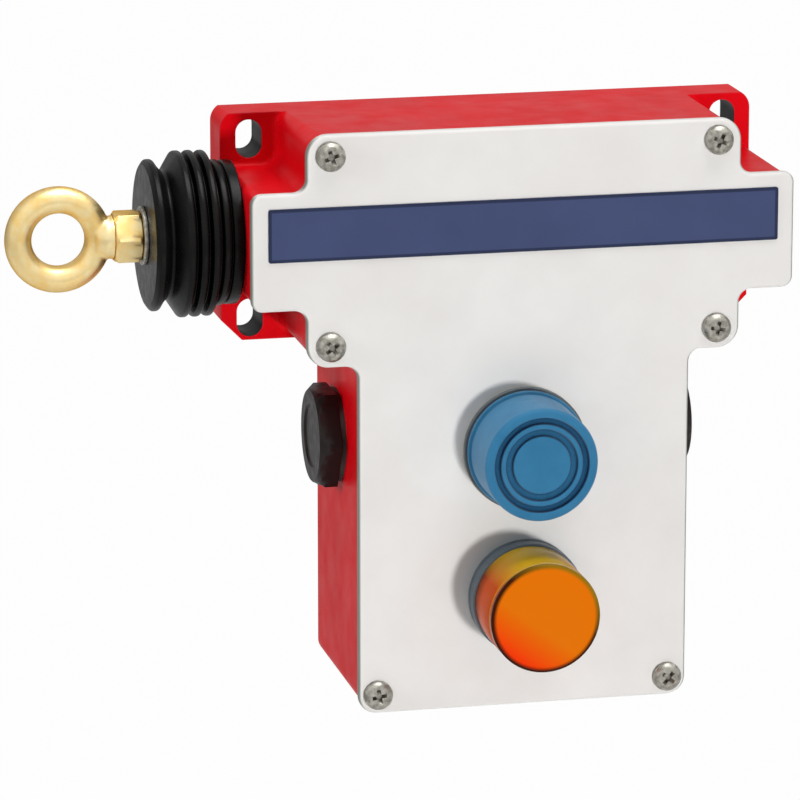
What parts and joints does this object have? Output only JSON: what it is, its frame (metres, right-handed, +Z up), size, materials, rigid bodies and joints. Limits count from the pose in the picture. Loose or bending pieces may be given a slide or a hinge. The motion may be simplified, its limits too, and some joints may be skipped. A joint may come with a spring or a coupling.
{
  "type": "rope pull switch",
  "caption": "Wall-mounted rope pull safety switch with a rope eye on a rubber bellows, reset button, pilot light and cable entries in a die-cast case.",
  "frame": {"origin": "on the mounting plane, straight behind the rod's axis, midway between the two wings", "axes": "+X along the rod away from the rope eye, +Y back into the wall, +Z up; the cover faces -Y"},
  "size_m": [0.2116, 0.083, 0.161],
  "materials": {
    "red_casting": "semi-gloss powder coat",
    "grey_rubber": "matt",
    "cover_paint": "satin light grey",
    "blue_strip": "satin film",
    "zinc_steel": "zinc plated",
    "black_rubber": "matt moulded",
    "yellow_zinc": "yellow zinc plated steel",
    "bronze": "sintered",
    "orange_plastic": "moulded",
    "spring_steel": "drawn wire",
    "white_plastic": "moulded",
    "red_plastic": "moulded",
    "dark_plastic": "moulded",
    "blue_plastic": "moulded",
    "blue_rubber": "matt silicone",
    "grey_plastic": "moulded",
    "lamp_glass": "frosted",
    "amber_lens": "clear amber",
    "black_plastic": "moulded"
  },
  "bodies": {
    "housing": {"housing": "red_casting", "cover_gasket": "grey_rubber", "front_cover": "cover_paint", "label_strip": "blue_strip", "cover_screws": "zinc_steel", "bellows": "black_rubber", "left_guide_bush": "bronze", "right_guide_bush": "bronze", "tension_spring": "spring_steel", "slack_spring": "spring_steel", "mechanism_bracket": "zinc_steel", "bracket_screws": "zinc_steel", "contact_block_left": "white_plastic", "contact_block_right": "white_plastic", "terminal_screws": "zinc_steel", "latch_pin": "zinc_steel", "latch_spring": "spring_steel", "reset_barrel": "dark_plastic", "reset_nut": "dark_plastic", "reset_spring": "spring_steel", "pilot_bezel": "grey_plastic", "pilot_nut": "dark_plastic", "pilot_lamp_holder": "white_plastic", "pilot_lamp": "lamp_glass", "pilot_lens": "amber_lens", "left_plug": "black_plastic", "right_plug": "black_plastic", "plug_seals": "grey_rubber", "earth_screw": "zinc_steel", "earth_clamp": "yellow_zinc"},
    "pull_rod": {"pull_rod": "zinc_steel", "eyebolt": "yellow_zinc", "lock_nut": "yellow_zinc", "rod_washer": "zinc_steel", "cam_carriage": "orange_plastic", "carriage_pin": "zinc_steel", "spring_collars": "zinc_steel"},
    "reset": {"reset_button": "blue_plastic", "reset_boot": "blue_rubber"},
    "latch": {"latch_lever": "spring_steel"},
    "left_contact": {"contact_plunger_left": "red_plastic"},
    "right_contact": {"contact_plunger_right": "red_plastic"}
  },
  "joints": [
    {"name": "rod_slide", "type": "slide", "parent": "housing", "child": "pull_rod", "axis": [1, 0, 0], "range_m": [-0.006, 0.006], "stiffness_N_per_m": 5000, "deforming": ["bellows", "tension_spring", "slack_spring"]},
    {"name": "reset_push", "type": "slide", "parent": "housing", "child": "reset", "axis": [0, 1, 0], "range_m": [0, 0.004], "stiffness_N_per_m": 1500, "springref_m": -0.003, "deforming": ["reset_spring", "reset_boot"]},
    {"name": "latch_turn", "type": "hinge", "parent": "housing", "child": "latch", "pos_m": [0, -0.042, -0.036], "axis": [1, 0, 0], "range_deg": [0, 11.2], "deforming": ["latch_spring"]},
    {"name": "left_contact_slide", "type": "slide", "parent": "housing", "child": "left_contact", "axis": [0, 0, 1], "range_m": [-0.0016, 0.0016]},
    {"name": "right_contact_slide", "type": "slide", "parent": "housing", "child": "right_contact", "axis": [0, 0, 1], "range_m": [-0.0016, 0.0016]}
  ],
  "couplings": [
    {"joint": "latch_turn", "follows": "reset_push", "rad_per_m": 47.619},
    {"joint": "left_contact_slide", "follows": "rod_slide", "ratio": 0.25},
    {"joint": "right_contact_slide", "follows": "rod_slide", "ratio": -0.25}
  ]
}
